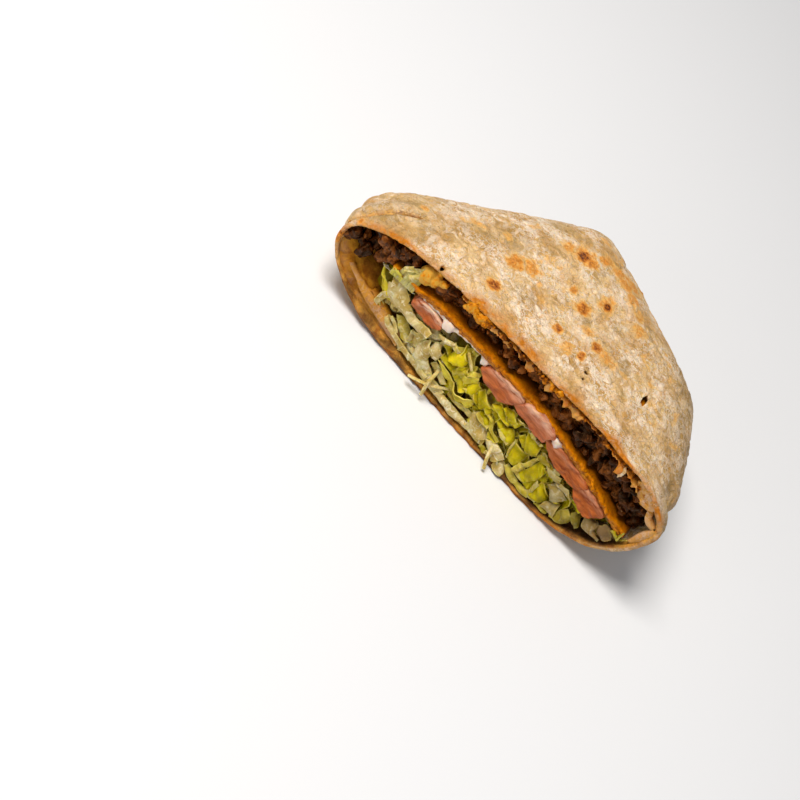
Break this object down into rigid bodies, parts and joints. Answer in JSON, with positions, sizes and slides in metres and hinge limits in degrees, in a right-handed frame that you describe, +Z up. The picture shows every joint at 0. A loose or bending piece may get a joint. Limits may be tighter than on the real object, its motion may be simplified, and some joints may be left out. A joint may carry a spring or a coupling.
{
  "type": "half of a folded tortilla wrap",
  "caption": "Half of a hexagonally folded, griddled flour tortilla wrap, cut across to show ground beef, cheese, crisp tostada, sour cream, tomato and shredded lettuce.",
  "frame": {"origin": "middle of the base, on the surface the half rests on", "axes": "+X along the cut, +Y from the cut back into the wrap, +Z up; the cut faces -Y"},
  "size_m": [0.1638, 0.108, 0.0527],
  "materials": {
    "tortilla": "floury, griddled wheat tortilla with toasted spots",
    "beef": "moist browned ground beef",
    "melted_cheese": "melted grated cheese, glossy",
    "nacho_cheese": "orange cheese sauce, glossy",
    "tostada": "fried corn tostada, crisp",
    "sour_cream": "sour cream, satin",
    "tomato": "cut tomato, wet",
    "lettuce": "shredded iceberg lettuce, crisp"
  },
  "bodies": {
    "root": {"tortilla": "tortilla", "beef": "beef", "melted_cheese": "melted_cheese", "nacho_cheese": "nacho_cheese", "tostada": "tostada", "sour_cream": "sour_cream", "tomato_1": "tomato", "tomato_2": "tomato", "tomato_3": "tomato", "tomato_4": "tomato", "tomato_5": "tomato", "lettuce": "lettuce"}
  },
  "joints": []
}
